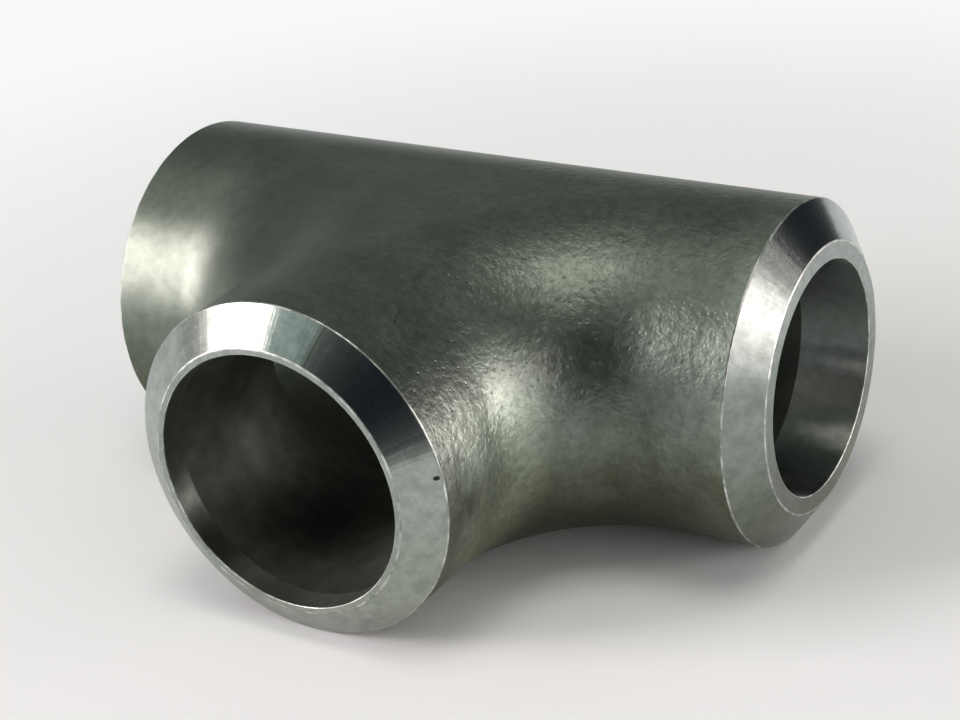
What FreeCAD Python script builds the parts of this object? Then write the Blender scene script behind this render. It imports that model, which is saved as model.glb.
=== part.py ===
import FreeCAD, Part
import math, os
import Sketcher

# Butt weld tee: a heavy tube pressed out sideways into a branch, then turned at its three ends.
# It is one piece of steel. The run lies along X and the branch points to -Y, both at height 0,
# and the origin is the point where their centre lines cross. Sizes are millimetres and degrees.

# The driving sizes, each set by itself.
SIZES = {
    "outside_diameter": 42.2,       # of the run and the branch, and of the pipes that butt on them
    "run_centre_to_end": 46.5,      # from the branch's centre line to each end of the run
    "branch_centre_to_end": 46.5,   # from the run's centre line to the end of the branch
    "crotch_radius": 12.7,          # inside corner between run and branch, at mid-height
    "formed_wall": 7.05,            # wall as pressed, all along the run and round the crotch
    "branch_mouth_wall": 5.6,       # the branch's wall thins to this towards its end
    "bevel_angle": 35.0,            # of the welding bevels, from the plane of the end
    "bore_taper_angle": 18.5,       # from each turned bore back to the bore as pressed
    "run_bore_skim": 0.2,           # how much a run end is opened beyond the pressed bore
    "run_bore_depth": 9.0,          # how far in a run end is bored
    "run_root_face": 2.2,           # flat ring left at a run end
    "branch_bore_skim": 0.45,       # how much the branch end is opened beyond its mouth
    "branch_bore_depth": 3.2,       # how far in the branch end is bored
    "branch_root_face": 0.8,        # flat ring left at the branch end
    "tool_overrun": 1.0,            # how far the boring taper runs on inside the pressed bore
}

# Radii and places that follow from the driving sizes.
SKIN = "(sizes.outside_diameter / 2)"
CORE = f"({SKIN} - sizes.formed_wall)"
CORE_MOUTH = f"({SKIN} - sizes.branch_mouth_wall)"
CROTCH_AXIS = f"({SKIN} + sizes.crotch_radius)"
RUN_END = "sizes.run_centre_to_end"
RUN_BORE = f"({CORE} + sizes.run_bore_skim)"
RUN_LAND = f"({RUN_BORE} + sizes.run_root_face)"
BRANCH_END = "sizes.branch_centre_to_end"
BRANCH_BORE = f"({CORE_MOUTH} + sizes.branch_bore_skim)"
BRANCH_LAND = f"({BRANCH_BORE} + sizes.branch_root_face)"


def make_sheet(doc):
    """The sheet of driving sizes, one named cell each."""
    sheet = doc.addObject("Spreadsheet::Sheet", "sizes")
    for row, (name, value) in enumerate(SIZES.items(), start=1):
        sheet.set(f"A{row}", name.replace("_", " "))
        sheet.set(f"B{row}", str(value))
        sheet.setAlias(f"B{row}", name)
    doc.recompute()


def value_of(item, expression):
    """The number that an expression on the sheet gives, for drawing and for finding edges."""
    return float(item.Document.getObject("sizes").evalExpression(expression))


def base_item(body, role):
    """One of the body's own base planes or axes."""
    return next(item for item in body.Origin.OriginFeatures if item.Role == role)


def new_sketch(body, name, plane, offset=None):
    """An empty sketch on a base plane, moved along the plane's normal by an expression."""
    sketch = body.newObject("Sketcher::SketchObject", name)
    sketch.AttachmentSupport = [(base_item(body, plane), "")]
    sketch.MapMode = "FlatFace"
    if offset:
        sketch.setExpression("AttachmentOffset.Base.z", offset)
    return sketch


def hold(sketch, expression, kind, *where):
    """A dimension that follows the sheet."""
    row = sketch.addConstraint(Sketcher.Constraint(kind, *where, value_of(sketch, expression)))
    sketch.setExpression(f"Constraints[{row}]", expression)


def hold_point(sketch, geometry, end, across, up):
    """Both distances of a point from the sketch's origin; "0" puts it on the axis itself."""
    for kind, expression, axis in (("DistanceX", across, -2), ("DistanceY", up, -1)):
        if expression == "0":
            sketch.addConstraint(Sketcher.Constraint("PointOnObject", geometry, end, axis))
        else:
            hold(sketch, expression, kind, -1, 1, geometry, end)


def draw_outline(sketch, corners):
    """A closed outline of straight lines through corners given as pairs of expressions."""
    spots = [FreeCAD.Vector(value_of(sketch, x), value_of(sketch, y), 0) for x, y in corners]
    last = len(corners) - 1
    for line, start in enumerate(spots):
        sketch.addGeometry(Part.LineSegment(start, spots[0 if line == last else line + 1]))
    for line, (across, up) in enumerate(corners):
        before = last if line == 0 else line - 1
        sketch.addConstraint(Sketcher.Constraint("Coincident", before, 2, line, 1))
        hold_point(sketch, line, 1, across, up)


def draw_half_disc(sketch, radius, side):
    """A half disc about the sketch's origin, bulging to its plus or minus side."""
    size = value_of(sketch, radius)
    circle = Part.Circle(FreeCAD.Vector(0, 0, 0), FreeCAD.Vector(0, 0, 1), size)
    start = -math.pi / 2 * side
    arc = sketch.addGeometry(Part.ArcOfCircle(circle, start, start + math.pi))
    foot = FreeCAD.Vector(0, -size * side, 0)
    chord = sketch.addGeometry(Part.LineSegment(-foot, foot))
    sketch.addConstraint(Sketcher.Constraint("Coincident", arc, 3, -1, 1))
    sketch.addConstraint(Sketcher.Constraint("Coincident", arc, 2, chord, 1))
    sketch.addConstraint(Sketcher.Constraint("Coincident", chord, 2, arc, 1))
    sketch.addConstraint(Sketcher.Constraint("PointOnObject", chord, 1, -2))
    sketch.addConstraint(Sketcher.Constraint("PointOnObject", chord, 2, -2))
    hold(sketch, radius, "Radius", arc)


def draw_crotch_axis(sketch):
    """The upright line that the half section turns about, as construction."""
    left = -value_of(sketch, CROTCH_AXIS)
    foot = FreeCAD.Vector(left, 0, 0)
    top = FreeCAD.Vector(left, value_of(sketch, SKIN), 0)
    line = sketch.addGeometry(Part.LineSegment(foot, top), True)
    hold_point(sketch, line, 1, f"-{CROTCH_AXIS}", "0")
    hold_point(sketch, line, 2, f"-{CROTCH_AXIS}", SKIN)


def draw_saddle(sketch):
    """The field between the run's centre line and the two turned half sections."""
    reach = value_of(sketch, CROTCH_AXIS)
    quarter = math.pi / 2
    axis = FreeCAD.Vector(0, 0, 1)
    left, right = FreeCAD.Vector(-reach, 0, 0), FreeCAD.Vector(reach, 0, 0)
    top = sketch.addGeometry(Part.LineSegment(left, right))
    circle = Part.Circle(FreeCAD.Vector(reach, -reach, 0), axis, reach)
    near = sketch.addGeometry(Part.ArcOfCircle(circle, quarter, 2 * quarter))
    circle = Part.Circle(FreeCAD.Vector(-reach, -reach, 0), axis, reach)
    far = sketch.addGeometry(Part.ArcOfCircle(circle, 0, quarter))
    sketch.addConstraint(Sketcher.Constraint("Coincident", top, 2, near, 1))
    sketch.addConstraint(Sketcher.Constraint("Coincident", near, 2, far, 1))
    sketch.addConstraint(Sketcher.Constraint("Coincident", far, 2, top, 1))
    hold_point(sketch, top, 1, f"-{CROTCH_AXIS}", "0")
    hold_point(sketch, top, 2, CROTCH_AXIS, "0")
    hold_point(sketch, near, 3, CROTCH_AXIS, f"-{CROTCH_AXIS}")
    hold(sketch, f"-{CROTCH_AXIS}", "DistanceY", -1, 1, near, 2)
    sketch.addConstraint(Sketcher.Constraint("Equal", near, far))


def mirror(body, name, features):
    """The same features on the other side of the branch's centre line."""
    copy = body.newObject("PartDesign::Mirrored", name)
    copy.Originals = features
    copy.MirrorPlane = (base_item(body, "YZ_Plane"), [""])
    body.Tip = copy


def pad_both_ways(body, name, sketch, length):
    """A sketch pushed out to a length, half of it on each side."""
    feature = body.newObject("PartDesign::Pad", name)
    feature.Profile = sketch
    feature.Midplane = True
    feature.setExpression("Length", length)


def turn(body, kind, name, sketch, axis, angle=360):
    """A sketch turned about one of its axes, to add metal or to cut it."""
    feature = body.newObject(f"PartDesign::{kind}", name)
    feature.Profile = sketch
    feature.ReferenceAxis = (sketch, [axis])
    feature.Angle = angle
    return feature


def press_form(doc, name, radius, run_outline, branch_outline):
    """The pressed shape at one radius: the skin's, or the bore's inside it.

    Behind the branch the run is a plain half cylinder. In front, its other half section turns
    about an upright axis in each crotch, from the run's end piece to the branch's neck.
    """
    body = doc.addObject("PartDesign::Body", name)
    back = new_sketch(body, f"{name}_back_section", "YZ_Plane")
    draw_half_disc(back, radius, 1)
    pad_both_ways(body, f"{name}_back", back, f"2 * {CROTCH_AXIS}")

    end = new_sketch(body, f"{name}_run_end_outline", "XY_Plane")
    draw_outline(end, run_outline)
    run_end = turn(body, "Revolution", f"{name}_run_end", end, "H_Axis")
    front = new_sketch(body, f"{name}_crotch_section", "YZ_Plane", CROTCH_AXIS)
    draw_half_disc(front, radius, -1)
    draw_crotch_axis(front)
    crotch = turn(body, "Revolution", f"{name}_crotch", front, "Axis0", 90)
    mirror(body, f"{name}_other_side", [run_end, crotch])

    saddle = new_sketch(body, f"{name}_saddle_outline", "XY_Plane")
    draw_saddle(saddle)
    pad_both_ways(body, f"{name}_saddle", saddle, f"2 * {radius}")
    neck = new_sketch(body, f"{name}_neck_outline", "XY_Plane")
    draw_outline(neck, along_branch(branch_outline))
    turn(body, "Revolution", f"{name}_neck", neck, "V_Axis")
    return body


def along_branch(corners):
    """Corners given as distance along an end's axis and out from it, drawn along -Y."""
    return [(out, f"-{along}") for along, out in corners]


def bevelled(end, land):
    """An end piece of the skin: straight from the crotch, then bevelled down to its root face."""
    bevel = f"({end} - ({SKIN} - {land}) * tan(sizes.bevel_angle))"
    return [(CROTCH_AXIS, "0"), (CROTCH_AXIS, SKIN), (bevel, SKIN), (end, land), (end, "0")]


def pressed(end, mouth):
    """The pressed bore inside an end piece, from the crotch to its mouth."""
    return [(CROTCH_AXIS, "0"), (CROTCH_AXIS, CORE), (end, mouth), (end, "0")]


def bored(end, bore, depth):
    """What a boring cut takes out: a straight bore and a taper back to the pressed bore."""
    step = f"({end} - {depth})"
    inner = f"({CORE} - sizes.tool_overrun)"
    back = f"({step} - ({bore} - {inner}) / tan(sizes.bore_taper_angle))"
    return [(end, "0"), (end, bore), (step, bore), (back, inner), (back, "0")]


def bore_ends(body):
    """The turned bores, at both ends of the run and at the end of the branch."""
    run = new_sketch(body, "run_bore_outline", "XY_Plane")
    draw_outline(run, bored(RUN_END, RUN_BORE, "sizes.run_bore_depth"))
    run_bore = turn(body, "Groove", "run_bore", run, "H_Axis")
    mirror(body, "other_run_bore", [run_bore])
    branch = new_sketch(body, "branch_bore_outline", "XY_Plane")
    draw_outline(branch, along_branch(bored(BRANCH_END, BRANCH_BORE, "sizes.branch_bore_depth")))
    turn(body, "Groove", "branch_bore", branch, "V_Axis")


def make_tee(doc):
    """The tee: the pressed skin, opened by the pressed bore, with its ends turned."""
    skin_ends = bevelled(RUN_END, RUN_LAND), bevelled(BRANCH_END, BRANCH_LAND)
    core_ends = pressed(RUN_END, CORE), pressed(BRANCH_END, CORE_MOUTH)
    core = press_form(doc, "core", CORE, *core_ends)
    tee = press_form(doc, "skin", SKIN, *skin_ends)
    opening = tee.newObject("PartDesign::Boolean", "pressed_bore")
    opening.Type = "Cut"
    opening.setObjects([core])
    bore_ends(tee)
    tee.Label = "weld_tee"
    return tee


def check_document(doc):
    """Stops if anything in the document failed to build."""
    for item in doc.Objects:
        if "Invalid" in item.State or "Error" in item.State:
            raise RuntimeError(f"{item.Label} did not build: {item.State}")


def write_part(part):
    """Checks a finished piece and writes it under its own name."""
    shape = part.Shape
    if shape.isNull() or not shape.isValid() or len(shape.Solids) != 1:
        raise RuntimeError(f"{part.Label} is not one sound solid")
    os.makedirs("parts", exist_ok=True)
    shape.exportStep(f"parts/{part.Label}.step")
    print(part.Label, "volume", round(shape.Volume, 1), "mm3, faces", len(shape.Faces))


doc = FreeCAD.newDocument("butt_weld_tee")
make_sheet(doc)
tee = make_tee(doc)
doc.recompute()
check_document(doc)
write_part(tee)
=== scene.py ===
import math

import bmesh
import bpy
from mathutils import Matrix, Vector


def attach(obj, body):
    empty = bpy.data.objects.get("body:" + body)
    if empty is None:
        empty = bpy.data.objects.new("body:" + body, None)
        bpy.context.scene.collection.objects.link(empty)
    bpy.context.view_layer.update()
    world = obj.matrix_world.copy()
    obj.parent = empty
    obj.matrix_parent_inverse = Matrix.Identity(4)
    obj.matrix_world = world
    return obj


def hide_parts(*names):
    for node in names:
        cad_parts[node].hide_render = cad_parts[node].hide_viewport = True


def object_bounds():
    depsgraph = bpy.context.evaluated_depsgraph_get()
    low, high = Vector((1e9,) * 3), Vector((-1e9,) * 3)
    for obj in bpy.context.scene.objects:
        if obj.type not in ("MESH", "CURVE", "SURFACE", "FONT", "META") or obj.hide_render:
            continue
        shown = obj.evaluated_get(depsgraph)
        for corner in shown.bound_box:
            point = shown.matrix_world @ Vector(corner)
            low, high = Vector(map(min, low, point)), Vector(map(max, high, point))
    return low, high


# Butt weld tee on a pale floor: the pressed steel skin, its turned welding ends and its bore.
# The run lies along X, the branch points to -Y, and every length is in metres.

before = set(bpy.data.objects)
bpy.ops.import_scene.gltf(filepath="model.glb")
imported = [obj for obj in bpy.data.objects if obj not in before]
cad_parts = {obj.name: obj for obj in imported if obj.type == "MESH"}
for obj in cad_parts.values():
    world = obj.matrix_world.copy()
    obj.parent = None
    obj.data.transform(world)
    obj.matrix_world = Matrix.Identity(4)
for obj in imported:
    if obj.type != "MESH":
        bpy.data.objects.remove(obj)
cad_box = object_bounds()

MM = 0.001
HAIR = 0.001 * MM            # points that are closer than this are one

# The tee's own sizes, as the frame has them.
SKIN = 21.1 * MM             # outer radius of run and branch
CORE = 14.05 * MM            # radius of the pressed bore
CROTCH = 33.8 * MM           # the upright crotch axes stand this far along X and -Y
END = 46.5 * MM              # from the middle to each end
RUN_BEVEL = 43.244 * MM      # where the run's bevel starts
RUN_LAND = 16.45 * MM        # outer radius of the run's root face
RUN_BORE = 14.25 * MM        # radius of the run's turned bore
RUN_STEP = 37.5 * MM         # where that bore ends inside
RUN_BACK = 36.902 * MM       # where its taper meets the pressed bore
BRANCH_BEVEL = 43.454 * MM   # the same for the branch
BRANCH_LAND = 16.75 * MM
BRANCH_BORE = 15.95 * MM
BRANCH_STEP = 43.3 * MM
BRANCH_BACK = 39.6 * MM
BRANCH_NECK = 14.722 * MM    # radius of the pressed bore where the branch's taper meets it
BEVEL_SLOPE = math.radians(35)

ROUND = 192                  # sides of every circle
CROTCH_STEPS = 48            # sections round each crotch

# The nick in the branch's bevel, near its outer edge.
NICK = Vector((20.245, -43.82, 3.680)) * MM
NICK_LONG = 0.45 * MM        # half its length, up the bevel
NICK_WIDE = 0.28 * MM        # half its width, round the bevel
NICK_DEEP = 0.11 * MM
NICK_PATCH = (-0.31 * MM, 0.27 * MM)    # where the bevel is cut for it, along Y from its middle
NICK_GRID = 11               # cuts each way that divide the patch
NICK_FLOOR = (0.19 * MM, 0.03 * MM)     # half the length and width of what is struck in

# The broken edges.
SHARP = math.radians(30)     # an edge that turns more than this is a crease
BROKEN = 0.14 * MM           # width of the chamfer on it


# Modelling helpers

def pick(piece, kind, test):
    """Selects only what passes the test: a vertex, both ends of an edge, or a face's middle."""
    mesh = bmesh.from_edit_mesh(piece.data)
    bpy.ops.mesh.select_mode(type=kind)
    bpy.ops.mesh.select_all(action="DESELECT")
    if kind == "VERT":
        for vertex in mesh.verts:
            vertex.select_set(test(vertex.co))
    elif kind == "EDGE":
        for edge in mesh.edges:
            edge.select_set(all(test(vertex.co) for vertex in edge.verts))
    else:
        for face in mesh.faces:
            face.select_set(test(face.calc_center_median()))
    mesh.select_flush_mode()
    bmesh.update_edit_mesh(piece.data)


def near(value, target):
    """Whether two lengths agree, with room for the rounding of a mesh."""
    return abs(value - target) < 0.004 * MM


def from_x(point):
    """Distance from the run's centre line."""
    return math.hypot(point.y, point.z)


def from_y(point):
    """Distance from the branch's centre line."""
    return math.hypot(point.x, point.z)


def from_turn(point):
    """Distance from the line that turns a quarter about the nearer crotch axis."""
    return math.hypot(math.hypot(abs(point.x) - CROTCH, point.y + CROTCH) - CROTCH, point.z)


def from_nick(point):
    """Distances from the nick along the branch's bevel: up its slope, and round its ring."""
    up = ((point.y - NICK.y) * math.sin(BEVEL_SLOPE)
          + (from_y(point) - from_y(NICK)) * math.cos(BEVEL_SLOPE))
    turn = math.atan2(point.z, point.x) - math.atan2(NICK.z, NICK.x)
    return up, turn * from_y(NICK)


def in_nick(point, share):
    """Whether a point on the branch's bevel lies in the given share of the nick."""
    up, turn = from_nick(point)
    return point.y < -BRANCH_BEVEL + MM and math.hypot(up / NICK_LONG, turn / NICK_WIDE) < share


def pull(axis, start, radius, stations):
    """Draws the selected edges out along an axis, ring by ring, to each (along, radius)."""
    along = start
    for place, size in stations:
        bpy.ops.mesh.extrude_edges_move(
            TRANSFORM_OT_translate={"value": axis * (place - along)})
        if size != radius:
            ratio = size / radius
            scale = [1 if abs(part) > 0.5 else ratio for part in axis]
            bpy.ops.transform.resize(value=scale, center_override=axis * place)
        along, radius = place, size


def make_tee():
    """The +X half of the tee, drawn out from one circle, then mirrored."""
    bpy.ops.object.select_all(action="DESELECT")
    bpy.ops.mesh.primitive_circle_add(vertices=ROUND, radius=SKIN, fill_type="NOTHING",
                                      location=(CROTCH, 0, 0), rotation=(0, math.pi / 2, 0))
    bpy.ops.object.transform_apply(location=True, rotation=True, scale=True)
    tee = bpy.context.active_object
    tee.name = tee.data.name = "tee_body"
    bpy.ops.object.mode_set(mode="EDIT")

    # The run's end: skin, bevel, root face, turned bore, taper, pressed bore.
    run, branch = Vector((1, 0, 0)), Vector((0, -1, 0))
    bpy.ops.mesh.select_all(action="SELECT")
    pull(run, CROTCH, SKIN, [(RUN_BEVEL, SKIN), (END, RUN_LAND), (END, RUN_BORE),
                             (RUN_STEP, RUN_BORE), (RUN_BACK, CORE), (CROTCH, CORE)])

    for radius in (SKIN, CORE):
        # Behind the branch the section runs straight to the middle.
        pick(tee, "EDGE", lambda p: near(p.x, CROTCH) and near(from_x(p), radius) and p.y > -HAIR)
        pull(run, CROTCH, radius, [(0, radius)])
        # In front it turns a quarter about the upright crotch axis.
        pick(tee, "EDGE", lambda p: near(p.x, CROTCH) and near(from_x(p), radius) and p.y < HAIR)
        bpy.ops.mesh.spin(steps=CROTCH_STEPS, angle=-math.pi / 2, dupli=False,
                          center=(CROTCH, -CROTCH, 0), axis=(0, 0, 1))

    # The branch's end, as half rings, from the skin's round to the bore's.
    pick(tee, "EDGE", lambda p: near(p.y, -CROTCH) and near(from_y(p), SKIN))
    pull(branch, CROTCH, SKIN, [(BRANCH_BEVEL, SKIN), (END, BRANCH_LAND), (END, BRANCH_BORE),
                                (BRANCH_STEP, BRANCH_BORE), (BRANCH_BACK, BRANCH_NECK),
                                (CROTCH, CORE)])

    # The flat saddles, above and below, outside and in the bore.
    for height in (SKIN, -SKIN, CORE, -CORE):
        pick(tee, "VERT", lambda p: near(p.z, height) and p.x < CROTCH + HAIR
             and -CROTCH - HAIR < p.y < HAIR)
        bpy.ops.mesh.edge_face_add()

    bpy.ops.mesh.select_all(action="SELECT")
    bpy.ops.mesh.remove_doubles(threshold=HAIR)
    bpy.ops.object.mode_set(mode="OBJECT")
    mirror = tee.modifiers.new("other_half", "MIRROR")
    mirror.merge_threshold = HAIR
    bpy.ops.object.modifier_apply(modifier=mirror.name)
    bpy.ops.object.mode_set(mode="EDIT")
    bpy.ops.mesh.select_all(action="SELECT")
    bpy.ops.mesh.remove_doubles(threshold=HAIR)
    bpy.ops.mesh.normals_make_consistent(inside=False)
    strike_nick(tee)
    bpy.ops.object.mode_set(mode="OBJECT")
    return tee


def strike_nick(tee):
    """A small dent, knocked into the one strip of the branch's bevel that it lies in."""
    def on_bevel(point):
        return point.y < -BRANCH_BEVEL and from_y(point) > BRANCH_LAND + 0.1 * MM

    def struck(point):
        up, turn = from_nick(point)
        return on_bevel(point) and abs(up) < NICK_FLOOR[0] and abs(turn) < NICK_FLOOR[1]

    # A patch is cut out of the strip and divided finely.
    for edge in NICK_PATCH:
        pick(tee, "FACE", lambda p: on_bevel(p) and abs(from_nick(p)[1]) < 0.1 * MM)
        bpy.ops.mesh.bisect(plane_co=(0, NICK.y + edge, 0), plane_no=(0, 1, 0), threshold=HAIR)
    pick(tee, "FACE", lambda p: in_nick(p, 0.5))
    bpy.ops.mesh.subdivide(number_cuts=NICK_GRID)
    # Its middle goes in, square to the bevel, and takes its sides along softly.
    pick(tee, "VERT", struck)
    inwards = Vector((-NICK.x, 0, -NICK.z)).normalized() * math.sin(BEVEL_SLOPE)
    inwards.y = math.cos(BEVEL_SLOPE)
    bpy.ops.transform.translate(
        value=inwards * NICK_DEEP, use_proportional_edit=True,
        proportional_edit_falloff="SMOOTH", proportional_size=NICK_WIDE)


# Materials

def colour(code):
    """A hex colour as it looks on screen, turned to linear."""
    parts = [int(code[i:i + 2], 16) / 255 for i in (1, 3, 5)]
    return [p / 12.92 if p <= 0.04045 else ((p + 0.055) / 1.055) ** 2.4 for p in parts] + [1]


def node(tree, kind, sockets=None, **options):
    """Adds a node with its options, and with its sockets set or linked."""
    made = tree.nodes.new(kind)
    for name, value in options.items():
        setattr(made, name, value)
    for name, value in (sockets or {}).items():
        if isinstance(value, bpy.types.NodeSocket):
            tree.links.new(value, made.inputs[name])
        else:
            made.inputs[name].default_value = value
    return made


def start_material(name):
    """A new material, and its node tree with nothing in it."""
    material = bpy.data.materials.new(name)
    material.use_nodes = True
    material.node_tree.nodes.clear()
    return material, material.node_tree


def skin_material():
    """Carbon steel, hot pressed, shot blasted and pickled: a dark green-grey satin, with a fine
    dented grain that glitters where light falls across it and soft blotches left by the bath."""
    material, tree = start_material("blasted_pickled_steel")
    place = node(tree, "ShaderNodeTexCoord").outputs["Object"]
    spot = node(tree, "ShaderNodeSeparateXYZ", {"Vector": place})
    # Blotches about 7 mm across, and a clumping of the grain about 1.3 mm across. The blotches
    # also make the borders of the regions below uneven.
    blotch = node(tree, "ShaderNodeTexNoise", {
        "Vector": place, "Scale": 1 / (7 * MM), "Detail": 3.0, "Roughness": 0.5})
    clump = node(tree, "ShaderNodeTexNoise", {
        "Vector": place, "Scale": 1 / (1.3 * MM), "Detail": 2.0, "Roughness": 0.6})

    # The shot bit deeper on the +X side, where the blast came from.
    blast = node(tree, "ShaderNodeMath", {
        0: blotch.outputs["Fac"], 1: 24 * MM, 2: spot.outputs["X"]}, operation="MULTIPLY_ADD")
    blast = node(tree, "ShaderNodeMapRange", {
        "Value": blast.outputs["Value"], "From Min": 4 * MM, "From Max": 26 * MM,
        "To Min": 0.15, "To Max": 1.0}, interpolation_type="SMOOTHSTEP")
    # Towards the +X end the grain is flatter, and the skin is painted brighter: a painted
    # highlight.
    rub = node(tree, "ShaderNodeMath", {
        0: blotch.outputs["Fac"], 1: 16 * MM, 2: spot.outputs["X"]}, operation="MULTIPLY_ADD")
    rub = node(tree, "ShaderNodeMapRange", {
        "Value": rub.outputs["Value"], "From Min": 43 * MM, "From Max": 61 * MM,
        "To Min": 1.0, "To Max": 1.75}, interpolation_type="SMOOTHSTEP")
    flatter = node(tree, "ShaderNodeMath", {0: rub.outputs["Result"]}, operation="SQRT")
    coarse = node(tree, "ShaderNodeMath", {
        0: blast.outputs["Result"], 1: flatter.outputs["Value"]}, operation="DIVIDE")
    # On that side a painted highlight lies on the branch's neck too, in a band round it about
    # 29 mm out that fades upwards. It keeps its grain.
    band = node(tree, "ShaderNodeMath", {
        0: blotch.outputs["Fac"], 1: 8 * MM, 2: spot.outputs["Y"]}, operation="MULTIPLY_ADD")
    band = node(tree, "ShaderNodeMath", {0: band.outputs["Value"], 1: 29 * MM}, operation="ADD")
    band = node(tree, "ShaderNodeMath", {0: band.outputs["Value"]}, operation="ABSOLUTE")
    band = node(tree, "ShaderNodeMapRange", {
        "Value": band.outputs["Value"], "From Min": 9 * MM, "From Max": 3 * MM,
        "To Min": 0.0, "To Max": 1.25}, interpolation_type="SMOOTHSTEP")
    side = node(tree, "ShaderNodeMapRange", {
        "Value": spot.outputs["X"], "From Min": 6 * MM, "From Max": 16 * MM,
        "To Min": 0.0, "To Max": 1.0}, interpolation_type="SMOOTHSTEP")
    fade = node(tree, "ShaderNodeMapRange", {
        "Value": spot.outputs["Z"], "From Min": 14 * MM, "From Max": 3 * MM,
        "To Min": 0.25, "To Max": 1.0}, interpolation_type="SMOOTHSTEP")
    neck = node(tree, "ShaderNodeMath", {
        0: side.outputs["Result"], 1: fade.outputs["Result"]}, operation="MULTIPLY")
    shine = node(tree, "ShaderNodeMath", {
        0: band.outputs["Result"], 1: neck.outputs["Value"], 2: rub.outputs["Result"]},
        operation="MULTIPLY_ADD")

    # Grit marks about 0.3 mm across, drawn a little larger than real grit leaves, and here and
    # there a single deeper dent about 0.4 mm across.
    grit = node(tree, "ShaderNodeTexNoise", {
        "Vector": place, "Scale": 1 / (0.34 * MM), "Detail": 3.0, "Roughness": 0.7})
    stray = node(tree, "ShaderNodeVectorMath", {
        0: grit.outputs["Color"], 1: (0.4 * MM, 0.4 * MM, 0.4 * MM), 2: place},
        operation="MULTIPLY_ADD")
    cells = node(tree, "ShaderNodeTexVoronoi", {
        "Vector": stray.outputs["Vector"], "Scale": 1 / (0.75 * MM), "Randomness": 1.0})
    dent = node(tree, "ShaderNodeMapRange", {
        "Value": cells.outputs["Distance"], "From Min": 0.08, "From Max": 0.36,
        "To Min": -1.0, "To Max": 0.0}, interpolation_type="SMOOTHSTEP")
    depth = node(tree, "ShaderNodeSeparateColor", {"Color": cells.outputs["Color"]})
    depth = node(tree, "ShaderNodeMapRange", {
        "Value": depth.outputs["Red"], "From Min": 0.2, "From Max": 1.0,
        "To Min": 0.1, "To Max": 2.0})
    dent = node(tree, "ShaderNodeMath", {
        0: dent.outputs["Result"], 1: depth.outputs["Result"]}, operation="MULTIPLY")
    height = node(tree, "ShaderNodeMath", {
        0: clump.outputs["Fac"], 1: 6.5, 2: grit.outputs["Fac"]}, operation="MULTIPLY_ADD")
    height = node(tree, "ShaderNodeMath", {
        0: height.outputs["Value"], 1: dent.outputs["Value"]}, operation="ADD")
    height = node(tree, "ShaderNodeMath", {
        0: height.outputs["Value"], 1: coarse.outputs["Value"]}, operation="MULTIPLY")
    bump = node(tree, "ShaderNodeBump", {
        "Height": height.outputs["Value"], "Strength": 1.0, "Distance": 0.0165 * MM})

    tone = node(tree, "ShaderNodeValToRGB", {"Fac": blotch.outputs["Fac"]})
    tone.color_ramp.elements[0].position = 0.3
    tone.color_ramp.elements[0].color = colour("#646B62")
    tone.color_ramp.elements[1].position = 0.7
    tone.color_ramp.elements[1].color = colour("#71786F")
    mottle = node(tree, "ShaderNodeMapRange", {
        "Value": clump.outputs["Fac"], "From Min": 0.3, "From Max": 0.7,
        "To Min": 0.90, "To Max": 1.10})
    # Single grains differ a little in tone: painted glints on facets that shine, and painted
    # shade in pits that stay dark.
    facet = node(tree, "ShaderNodeTexNoise", {
        "Vector": place, "Scale": 1 / (0.9 * MM), "Detail": 3.0, "Roughness": 0.8})
    facet = node(tree, "ShaderNodeMapRange", {
        "Value": facet.outputs["Fac"], "From Min": 0.3, "From Max": 0.7,
        "To Min": -0.20, "To Max": 0.20})
    level = node(tree, "ShaderNodeMath", {
        0: facet.outputs["Result"], 1: coarse.outputs["Value"],
        2: mottle.outputs["Result"]}, operation="MULTIPLY_ADD")
    level = node(tree, "ShaderNodeMath", {
        0: level.outputs["Value"], 1: shine.outputs["Value"]}, operation="MULTIPLY")
    paint = node(tree, "ShaderNodeVectorMath", {
        0: tone.outputs["Color"], "Scale": level.outputs["Value"]}, operation="SCALE")
    # The underside is painted darker, as shade, and browner.
    low = node(tree, "ShaderNodeMath", {
        0: blotch.outputs["Fac"], 1: 16 * MM, 2: spot.outputs["Z"]}, operation="MULTIPLY_ADD")
    low = node(tree, "ShaderNodeMapRange", {
        "Value": low.outputs["Value"], "From Min": 14 * MM, "From Max": -5 * MM,
        "To Min": 0.0, "To Max": 1.0}, interpolation_type="SMOOTHSTEP")
    stain = node(tree, "ShaderNodeMix", {
        "Factor": low.outputs["Result"], "A": (1.0, 1.0, 1.0), "B": (0.64, 0.62, 0.47)},
        data_type="VECTOR")
    paint = node(tree, "ShaderNodeVectorMath", {
        0: paint.outputs["Vector"], 1: stain.outputs["Result"]}, operation="MULTIPLY")
    rough = node(tree, "ShaderNodeMapRange", {
        "Value": coarse.outputs["Value"], "From Min": 0.0, "From Max": 1.0,
        "To Min": 0.38, "To Max": 0.41})
    shader = node(tree, "ShaderNodeBsdfPrincipled", {
        "Base Color": paint.outputs["Vector"], "Metallic": 1.0,
        "Roughness": rough.outputs["Result"], "Normal": bump.outputs["Normal"]})
    node(tree, "ShaderNodeOutputMaterial", {"Surface": shader.outputs["BSDF"]})
    return material


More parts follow.
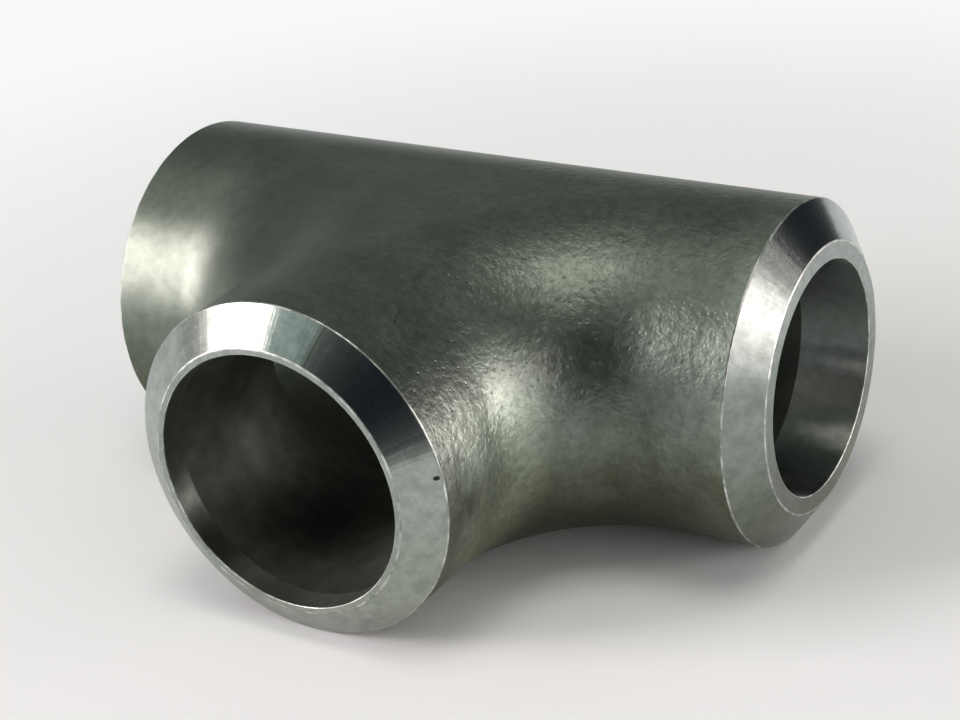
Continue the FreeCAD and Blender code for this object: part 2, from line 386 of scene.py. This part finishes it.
def turned_material(name, axis, roughness, anisotropy, feed_depth, dark, light, foot):
    """Steel fresh from the lathe: bright, with fine rings round the axis, so that light lies on
    it in sharp wedges, and grey where it has stood since. The last value paints shade on its low
    side, darker and browner."""
    material, tree = start_material(name)
    place = node(tree, "ShaderNodeTexCoord").outputs["Object"]
    across = node(tree, "ShaderNodeVectorMath", {0: place, 1: axis}, operation="CROSS_PRODUCT")
    radius = node(tree, "ShaderNodeVectorMath", {0: across.outputs["Vector"]}, operation="LENGTH")
    along = node(tree, "ShaderNodeVectorMath", {0: place, 1: axis}, operation="DOT_PRODUCT")
    # Gloss spreads across the rings: along the slope of a bevel, along a bore, out over a face.
    radial = node(tree, "ShaderNodeVectorMath", {
        0: axis, 1: across.outputs["Vector"]}, operation="CROSS_PRODUCT")
    radial = node(tree, "ShaderNodeVectorMath", {0: radial.outputs["Vector"]},
                  operation="NORMALIZE")
    slope = node(tree, "ShaderNodeVectorMath", {0: axis, 1: radial.outputs["Vector"]},
                 operation="SUBTRACT")
    # Feed marks 0.3 mm apart, on a bevel, in a bore and on a face alike.
    feed = node(tree, "ShaderNodeMath", {
        0: radius.outputs["Value"], 1: along.outputs["Value"]}, operation="SUBTRACT")
    feed = node(tree, "ShaderNodeMath", {0: feed.outputs["Value"], 1: 1 / (0.3 * MM)},
                operation="MULTIPLY")
    feed = node(tree, "ShaderNodeTexNoise", {
        "W": feed.outputs["Value"], "Scale": 1.0, "Detail": 2.0}, noise_dimensions="1D")
    # Chatter: flats about three degrees wide, which run straight across the rings.
    chatter = node(tree, "ShaderNodeTexNoise", {
        "Vector": radial.outputs["Vector"], "Scale": 16.0, "Detail": 2.0, "Roughness": 0.6})
    chatter = node(tree, "ShaderNodeMath", {0: chatter.outputs["Fac"], 1: 0.02 * MM},
                   operation="MULTIPLY")
    height = node(tree, "ShaderNodeMath", {
        0: feed.outputs["Fac"], 1: feed_depth, 2: chatter.outputs["Value"]},
        operation="MULTIPLY_ADD")
    bump = node(tree, "ShaderNodeBump", {
        "Height": height.outputs["Value"], "Strength": 1.0, "Distance": 1.0})

    # Handling and air leave a fine cloudy grey, 1 to 2 mm across.
    cloud = node(tree, "ShaderNodeTexNoise", {
        "Vector": place, "Scale": 1 / (1.6 * MM), "Detail": 4.0, "Roughness": 0.65})
    tone = node(tree, "ShaderNodeValToRGB", {"Fac": cloud.outputs["Fac"]})
    tone.color_ramp.elements[0].position = 0.34
    tone.color_ramp.elements[0].color = colour(dark)
    tone.color_ramp.elements[1].position = 0.62
    tone.color_ramp.elements[1].color = colour(light)
    # The low side of the rim is painted darker and browner: painted shade.
    low = node(tree, "ShaderNodeSeparateXYZ", {"Vector": place})
    low = node(tree, "ShaderNodeMapRange", {
        "Value": low.outputs["Z"], "From Min": 6 * MM, "From Max": -14 * MM,
        "To Min": 0.0, "To Max": 1.0})
    stain = node(tree, "ShaderNodeMix", {
        "Factor": low.outputs["Result"], "A": (1.0, 1.0, 1.0), "B": foot}, data_type="VECTOR")
    paint = node(tree, "ShaderNodeVectorMath", {
        0: tone.outputs["Color"], 1: stain.outputs["Result"]}, operation="MULTIPLY")
    # Here and there a fine curved scratch, where the grey is light.
    line = node(tree, "ShaderNodeTexNoise", {
        "Vector": place, "Scale": 1 / (5 * MM), "Detail": 0.0})
    line = node(tree, "ShaderNodeMath", {0: line.outputs["Fac"], 1: 0.5, 2: 0.004},
                operation="COMPARE")
    clean = node(tree, "ShaderNodeMath", {0: cloud.outputs["Fac"], 1: 0.52},
                 operation="GREATER_THAN")
    scratch = node(tree, "ShaderNodeMath", {
        0: line.outputs["Value"], 1: clean.outputs["Value"]}, operation="MULTIPLY")
    rough = node(tree, "ShaderNodeMapRange", {
        "Value": cloud.outputs["Fac"], "From Min": 0.3, "From Max": 0.7,
        "To Min": roughness * 1.06, "To Max": roughness * 0.95})
    rough = node(tree, "ShaderNodeMath", {
        0: scratch.outputs["Value"], 1: 0.05, 2: rough.outputs["Result"]},
        operation="MULTIPLY_ADD")
    shader = node(tree, "ShaderNodeBsdfPrincipled", {
        "Base Color": paint.outputs["Vector"], "Metallic": 1.0,
        "Roughness": rough.outputs["Value"], "Anisotropic": anisotropy,
        "Normal": bump.outputs["Normal"], "Tangent": slope.outputs["Vector"]})
    node(tree, "ShaderNodeOutputMaterial", {"Surface": shader.outputs["BSDF"]})
    return material


def edge_material():
    """The broken edges: a thin burr, bright where it was rubbed and dull where it wasn't."""
    material, tree = start_material("rubbed_burr_steel")
    place = node(tree, "ShaderNodeTexCoord").outputs["Object"]
    rub = node(tree, "ShaderNodeTexNoise", {
        "Vector": place, "Scale": 1 / (2.4 * MM), "Detail": 4.0, "Roughness": 0.7})
    tone = node(tree, "ShaderNodeValToRGB", {"Fac": rub.outputs["Fac"]})
    tone.color_ramp.elements[0].position = 0.42
    tone.color_ramp.elements[0].color = colour("#878B85")
    tone.color_ramp.elements[1].position = 0.66
    tone.color_ramp.elements[1].color = colour("#D5D7D2")
    bump = node(tree, "ShaderNodeBump", {
        "Height": rub.outputs["Fac"], "Strength": 1.0, "Distance": 0.05 * MM})
    shader = node(tree, "ShaderNodeBsdfPrincipled", {
        "Base Color": tone.outputs["Color"], "Metallic": 1.0, "Roughness": 0.4,
        "Normal": bump.outputs["Normal"]})
    node(tree, "ShaderNodeOutputMaterial", {"Surface": shader.outputs["BSDF"]})
    return material


def nick_material():
    """Scale and dirt packed in the nick, with painted shade: dull and nearly black, on a speck
    under 1 mm long.
    """
    material, tree = start_material("packed_scale")
    shader = node(tree, "ShaderNodeBsdfPrincipled", {
        "Base Color": colour("#24261F"), "Metallic": 0.0, "Roughness": 0.85})
    node(tree, "ShaderNodeOutputMaterial", {"Surface": shader.outputs["BSDF"]})
    return material


def bore_material():
    """The inside as pressed: dull, dark and even, with a faint scale."""
    material, tree = start_material("pressed_bore_steel")
    place = node(tree, "ShaderNodeTexCoord").outputs["Object"]
    scale = node(tree, "ShaderNodeTexNoise", {
        "Vector": place, "Scale": 1 / (2.5 * MM), "Detail": 4.0})
    tone = node(tree, "ShaderNodeValToRGB", {"Fac": scale.outputs["Fac"]})
    tone.color_ramp.elements[0].position = 0.3
    tone.color_ramp.elements[0].color = colour("#4F534D")
    tone.color_ramp.elements[1].position = 0.7
    tone.color_ramp.elements[1].color = colour("#62675E")
    bump = node(tree, "ShaderNodeBump", {
        "Height": scale.outputs["Fac"], "Strength": 0.5, "Distance": 0.05 * MM})
    shader = node(tree, "ShaderNodeBsdfPrincipled", {
        "Base Color": tone.outputs["Color"], "Metallic": 1.0, "Roughness": 0.62,
        "Normal": bump.outputs["Normal"]})
    node(tree, "ShaderNodeOutputMaterial", {"Surface": shader.outputs["BSDF"]})
    return material


def dress(tee):
    """Gives each face its finish by its place, and breaks the turned edges."""
    run, branch = (1.0, 0.0, 0.0), (0.0, -1.0, 0.0)
    untinted = (1.0, 1.0, 1.0)
    # Each later row takes its faces from the rows before it.
    finishes = [
        (skin_material(), None),
        (bore_material(),
         lambda p: from_x(p) < CORE + 0.3 * MM
         or min(from_y(p), from_turn(p)) < CORE + 2 * MM and p.y < -HAIR),
        # The run's turned steel is painted darker than the branch's, and its low side darker and
        # browner still: painted shade.
        (turned_material("turned_run_steel", run, roughness=0.22, anisotropy=0.85,
                         feed_depth=0.005 * MM, dark="#7F8680", light="#939994",
                         foot=(0.64, 0.65, 0.55)),
         lambda p: abs(p.x) > RUN_BEVEL),
        (turned_material("turned_branch_steel", branch, roughness=0.22, anisotropy=0.85,
                         feed_depth=0.005 * MM, dark="#8A918A", light="#9FA59E",
                         foot=(0.96, 0.97, 0.92)),
         lambda p: p.y < -BRANCH_BEVEL and not in_nick(p, 0.9)),
        (turned_material("bored_run_steel", run, roughness=0.37, anisotropy=1.0,
                         feed_depth=0.012 * MM, dark="#808680", light="#929892",
                         foot=untinted),
         lambda p: RUN_STEP < abs(p.x) < END - MM and from_x(p) < RUN_BORE + MM),
        # The branch's turned bore is painted darker than the other turned steel: painted shade in
        # the bore.
        (turned_material("bored_branch_steel", branch, roughness=0.40, anisotropy=0.70,
                         feed_depth=0.006 * MM, dark="#626760", light="#737871",
                         foot=untinted),
         lambda p: -END + 0.1 * MM < p.y < -BRANCH_STEP and from_y(p) < BRANCH_BORE + MM),
        (nick_material(), lambda p: in_nick(p, 0.9)),
        (edge_material(), None),
    ]
    bpy.ops.object.mode_set(mode="EDIT")
    for row, (material, test) in enumerate(finishes):
        tee.data.materials.append(material)
        if test:
            pick(tee, "FACE", test)
            tee.active_material_index = row
            bpy.ops.object.material_slot_assign()
    bpy.ops.object.mode_set(mode="OBJECT")
    bpy.ops.object.shade_smooth_by_angle(angle=SHARP)
    broken = tee.modifiers.new("broken_edges", "BEVEL")
    broken.width = BROKEN
    broken.segments = 2
    broken.limit_method = "ANGLE"
    broken.angle_limit = SHARP
    broken.harden_normals = True
    broken.material = len(finishes) - 1
    bpy.ops.object.modifier_apply(modifier=broken.name)


# Studio

def direction(azimuth, elevation):
    """A direction from the tee, its azimuth counted from -Y towards +X, in degrees."""
    a, e = math.radians(azimuth), math.radians(elevation)
    return Vector((math.sin(a) * math.cos(e), -math.cos(a) * math.cos(e), math.sin(e)))


def soft_box(name, azimuth, elevation, distance, width, height, radiance, code):
    """A rectangular lamp that faces the tee. Its power follows from how bright it looks."""
    data = bpy.data.lights.new(name, "AREA")
    data.shape = "RECTANGLE"
    data.size, data.size_y = width, height
    data.energy = radiance * math.pi * width * height
    data.color = colour(code)[:3]
    lamp = bpy.data.objects.new(name, data)
    bpy.context.scene.collection.objects.link(lamp)
    way = direction(azimuth, elevation)
    lamp.location = way * distance
    lamp.rotation_euler = way.to_track_quat("Z", "Y").to_euler()
    lamp.visible_camera = False


def card(name, azimuth, elevation, distance, width, height, material):
    """A black card that faces the tee. Only the steel's reflections see it."""
    bpy.ops.object.select_all(action="DESELECT")
    bpy.ops.mesh.primitive_plane_add(size=1)
    piece = bpy.context.active_object
    piece.name = name
    way = direction(azimuth, elevation)
    piece.scale = (width, height, 1)
    piece.rotation_euler = way.to_track_quat("Z", "Y").to_euler()
    piece.location = way * distance
    piece.data.materials.append(material)
    piece.visible_camera = False
    piece.visible_diffuse = False
    piece.visible_shadow = False


def make_floor(level):
    """Matt white paper, far wider than the view."""
    bpy.ops.object.select_all(action="DESELECT")
    bpy.ops.mesh.primitive_circle_add(vertices=96, radius=4, fill_type="NGON",
                                      location=(0, 0, level))
    floor = bpy.context.active_object
    floor.name = "floor"
    material, tree = start_material("pale_floor_paper")
    place = node(tree, "ShaderNodeTexCoord").outputs["Object"]
    shader = node(tree, "ShaderNodeBsdfPrincipled", {
        "Base Color": colour("#F5F6F8"), "Roughness": 0.9, "Specular IOR Level": 0.2})
    # Away from the tee the paper fades into the even white of the room, for the camera and,
    # from nearer, in what the steel reflects. By the tee it is plain paper, with the shadow.
    white = node(tree, "ShaderNodeEmission", {"Color": colour("#F9FAFA"), "Strength": 1.0})
    distance = node(tree, "ShaderNodeVectorMath", {0: place}, operation="LENGTH")
    far = node(tree, "ShaderNodeMapRange", {
        "Value": distance.outputs["Value"], "From Min": 0.08, "From Max": 0.24,
        "To Min": 0.0, "To Max": 1.0}, interpolation_type="SMOOTHSTEP")
    nearer = node(tree, "ShaderNodeMapRange", {
        "Value": distance.outputs["Value"], "From Min": 0.045, "From Max": 0.10,
        "To Min": 0.0, "To Max": 1.0}, interpolation_type="SMOOTHSTEP")
    ray = node(tree, "ShaderNodeLightPath")
    mirrored = node(tree, "ShaderNodeMath", {
        0: ray.outputs["Is Glossy Ray"], 1: ray.outputs["Is Transmission Ray"]},
        operation="MAXIMUM")
    mirrored = node(tree, "ShaderNodeMath", {
        0: mirrored.outputs["Value"], 1: nearer.outputs["Result"]}, operation="MULTIPLY")
    seen = node(tree, "ShaderNodeMath", {
        0: ray.outputs["Is Camera Ray"], 1: far.outputs["Result"],
        2: mirrored.outputs["Value"]}, operation="MULTIPLY_ADD")
    blend = node(tree, "ShaderNodeMixShader", {
        "Fac": seen.outputs["Value"], 1: shader.outputs["BSDF"], 2: white.outputs["Emission"]})
    node(tree, "ShaderNodeOutputMaterial", {"Surface": blend.outputs["Shader"]})
    floor.data.materials.append(material)


def make_studio():
    """Plain soft light, black cards for contrast, and a room that is white at the floor and
    grey from a little above it."""
    # Name, azimuth, elevation, distance, width, height, radiance and colour.
    for lamp in (
            ("left_soft_box", -50.5, 19, 0.9, 0.32, 0.57, 13.0, "#FFF2F3"),
            ("right_soft_box", 87, 16, 0.6, 0.56, 0.150, 3.5, "#FFF2F3"),
            ("right_lower_box", 88, 4.5, 0.6, 0.56, 0.085, 1.89, "#FFF2F3"),
            ("low_soft_box", 117, 3, 0.6, 0.30, 0.12, 16.0, "#FFF2F3"),
            ("top_soft_box", 40, 80, 1.2, 0.50, 0.50, 4.26, "#FFF7F0"),
            ("upper_soft_box", -80, 60, 1.2, 0.80, 0.60, 0.66, "#F4FAF4"),
            ("fill_soft_box", -28, 20, 0.9, 0.34, 0.55, 0.86, "#E2F2F8")):
        soft_box(*lamp)

    black, tree = start_material("black_card")
    shader = node(tree, "ShaderNodeBsdfPrincipled", {
        "Base Color": colour("#0F1A2B"), "Roughness": 0.9, "Specular IOR Level": 0.0})
    node(tree, "ShaderNodeOutputMaterial", {"Surface": shader.outputs["BSDF"]})
    # Name, azimuth, elevation, distance, width and height.
    for place in (
            ("front_card", 13, 17.5, 0.3, 0.218, 0.235),
            ("front_right_card", 43, 17.5, 0.3, 0.13, 0.235),
            ("back_card", 152, 16, 0.9, 0.80, 0.70)):
        card(*place, black)

    world = bpy.data.worlds.new("pale_room")
    bpy.context.scene.world = world
    world.use_nodes = True
    tree = world.node_tree
    tree.nodes.clear()
    way = node(tree, "ShaderNodeTexCoord").outputs["Generated"]
    height = node(tree, "ShaderNodeSeparateXYZ", {"Vector": way}).outputs["Z"]
    room = node(tree, "ShaderNodeValToRGB", {"Fac": height})
    room.color_ramp.elements[0].position = 0.0
    room.color_ramp.elements[0].color = colour("#F9FAFA")
    room.color_ramp.elements[1].position = 0.16
    room.color_ramp.elements[1].color = colour("#838B86")
    shader = node(tree, "ShaderNodeBackground", {
        "Color": room.outputs["Color"], "Strength": 1.0})
    node(tree, "ShaderNodeOutputWorld", {"Surface": shader.outputs["Background"]})


def make_camera():
    """Stands where the photograph was taken from, with its slight roll."""
    place = Vector((139.0385, -212.4916, 116.6839)) * MM
    azimuth, elevation, roll = 33.51137, 25.72673, -5.51970
    lens, sensor = 81.347, 36
    back = direction(azimuth, elevation)
    side = Vector((math.cos(math.radians(azimuth)), math.sin(math.radians(azimuth)), 0))
    up = side.cross(-back)
    turn = math.radians(roll)
    across = math.cos(turn) * side + math.sin(turn) * up
    rise = -math.sin(turn) * side + math.cos(turn) * up
    data = bpy.data.cameras.new("camera")
    data.sensor_width = sensor
    data.lens = lens
    data.clip_start, data.clip_end = 0.01, 20
    camera = bpy.data.objects.new("camera", data)
    bpy.context.scene.collection.objects.link(camera)
    turned = Matrix((across, rise, back)).transposed().to_4x4()
    camera.matrix_world = Matrix.Translation(place) @ turned
    bpy.context.scene.camera = camera


bpy.context.scene.view_settings.view_transform = "Standard"
tee = make_tee()
dress(tee)
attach(tee, "root")
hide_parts("weld_tee")
make_floor(cad_box[0][2])
make_studio()
make_camera()
